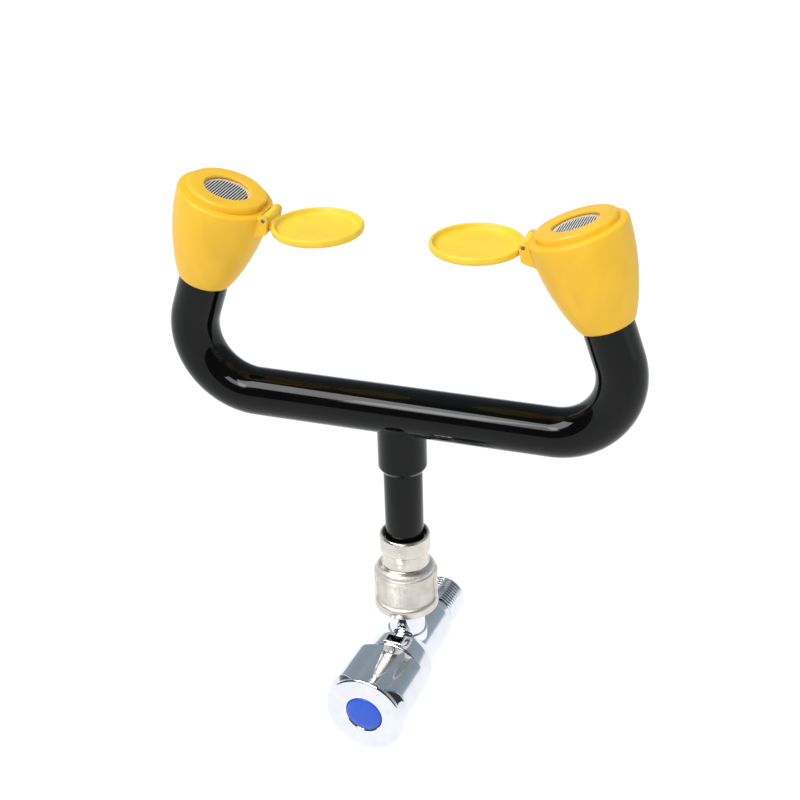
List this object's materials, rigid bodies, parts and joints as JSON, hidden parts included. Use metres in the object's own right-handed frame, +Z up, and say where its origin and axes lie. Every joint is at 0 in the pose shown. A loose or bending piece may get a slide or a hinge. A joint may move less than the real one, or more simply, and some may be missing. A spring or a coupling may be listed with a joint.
{
  "type": "emergency eyewash",
  "caption": "Twin-head emergency eyewash on a bent tube, with flip-up dust lids and a quarter-turn angle valve that screws into a wall outlet.",
  "frame": {"origin": "middle of the inlet thread, on the valve's axis", "axes": "+Y along the valve's axis into the wall, +Z up, +X to the right as the user faces the wall"},
  "size_m": [0.2092, 0.0989, 0.2463],
  "materials": {
    "chrome": "mirror chrome plating",
    "handle_chrome": "mirror chrome plating",
    "brass": "machined",
    "rubber_seal": "matt",
    "ceramic": "lapped ceramic",
    "stainless": "satin",
    "screen_steel": "bright satin",
    "blue_button": "gloss",
    "cast_nickel": "satin nickel over casting",
    "black_coat": "gloss epoxy coat",
    "yellow_shell": "satin moulded",
    "yellow_lid": "satin moulded",
    "white_plastic": "moulded",
    "foam": "open-cell foam"
  },
  "bodies": {
    "base": {"valve_body": "chrome", "seat_seal": "rubber_seal", "fixed_disc": "ceramic", "cartridge_body": "brass", "cartridge_o_ring": "rubber_seal", "reducing_socket": "cast_nickel", "riser_pipe": "black_coat", "tee_socket": "black_coat", "bar_tube": "black_coat", "head_shell_left": "yellow_shell", "head_bush_left": "brass", "head_gasket_left": "rubber_seal", "flow_washer_left": "rubber_seal", "diffuser_left": "white_plastic", "foam_filter_left": "foam", "screen_retainer_left": "white_plastic", "nozzle_screen_left": "screen_steel", "nozzle_cap_left": "yellow_shell", "hinge_pin_left": "stainless", "head_shell_right": "yellow_shell", "head_bush_right": "brass", "head_gasket_right": "rubber_seal", "flow_washer_right": "rubber_seal", "diffuser_right": "white_plastic", "foam_filter_right": "foam", "screen_retainer_right": "white_plastic", "nozzle_screen_right": "screen_steel", "nozzle_cap_right": "yellow_shell", "hinge_pin_right": "stainless"},
    "handle": {"handle": "handle_chrome", "handle_screw": "stainless", "index_button": "blue_button", "spindle": "brass", "spindle_o_rings": "rubber_seal", "spindle_clip": "stainless", "moving_disc": "ceramic"},
    "lid_left": {"lid_left": "yellow_lid"},
    "lid_right": {"lid_right": "yellow_lid"}
  },
  "joints": [
    {"name": "handle_turn", "type": "hinge", "parent": "base", "child": "handle", "pos_m": [0, -0.07, 0], "axis": [0, -1, 0], "range_deg": [0, 90]},
    {"name": "lid_left_hinge", "type": "hinge", "parent": "base", "child": "lid_left", "pos_m": [-0.05454, -0.04249, 0.2111], "axis": [0.0785, -0.9969, 0], "range_deg": [0, 161]},
    {"name": "lid_right_hinge", "type": "hinge", "parent": "base", "child": "lid_right", "pos_m": [0.05454, -0.03391, 0.2111], "axis": [-0.0785, 0.9969, 0], "range_deg": [0, 161]}
  ]
}
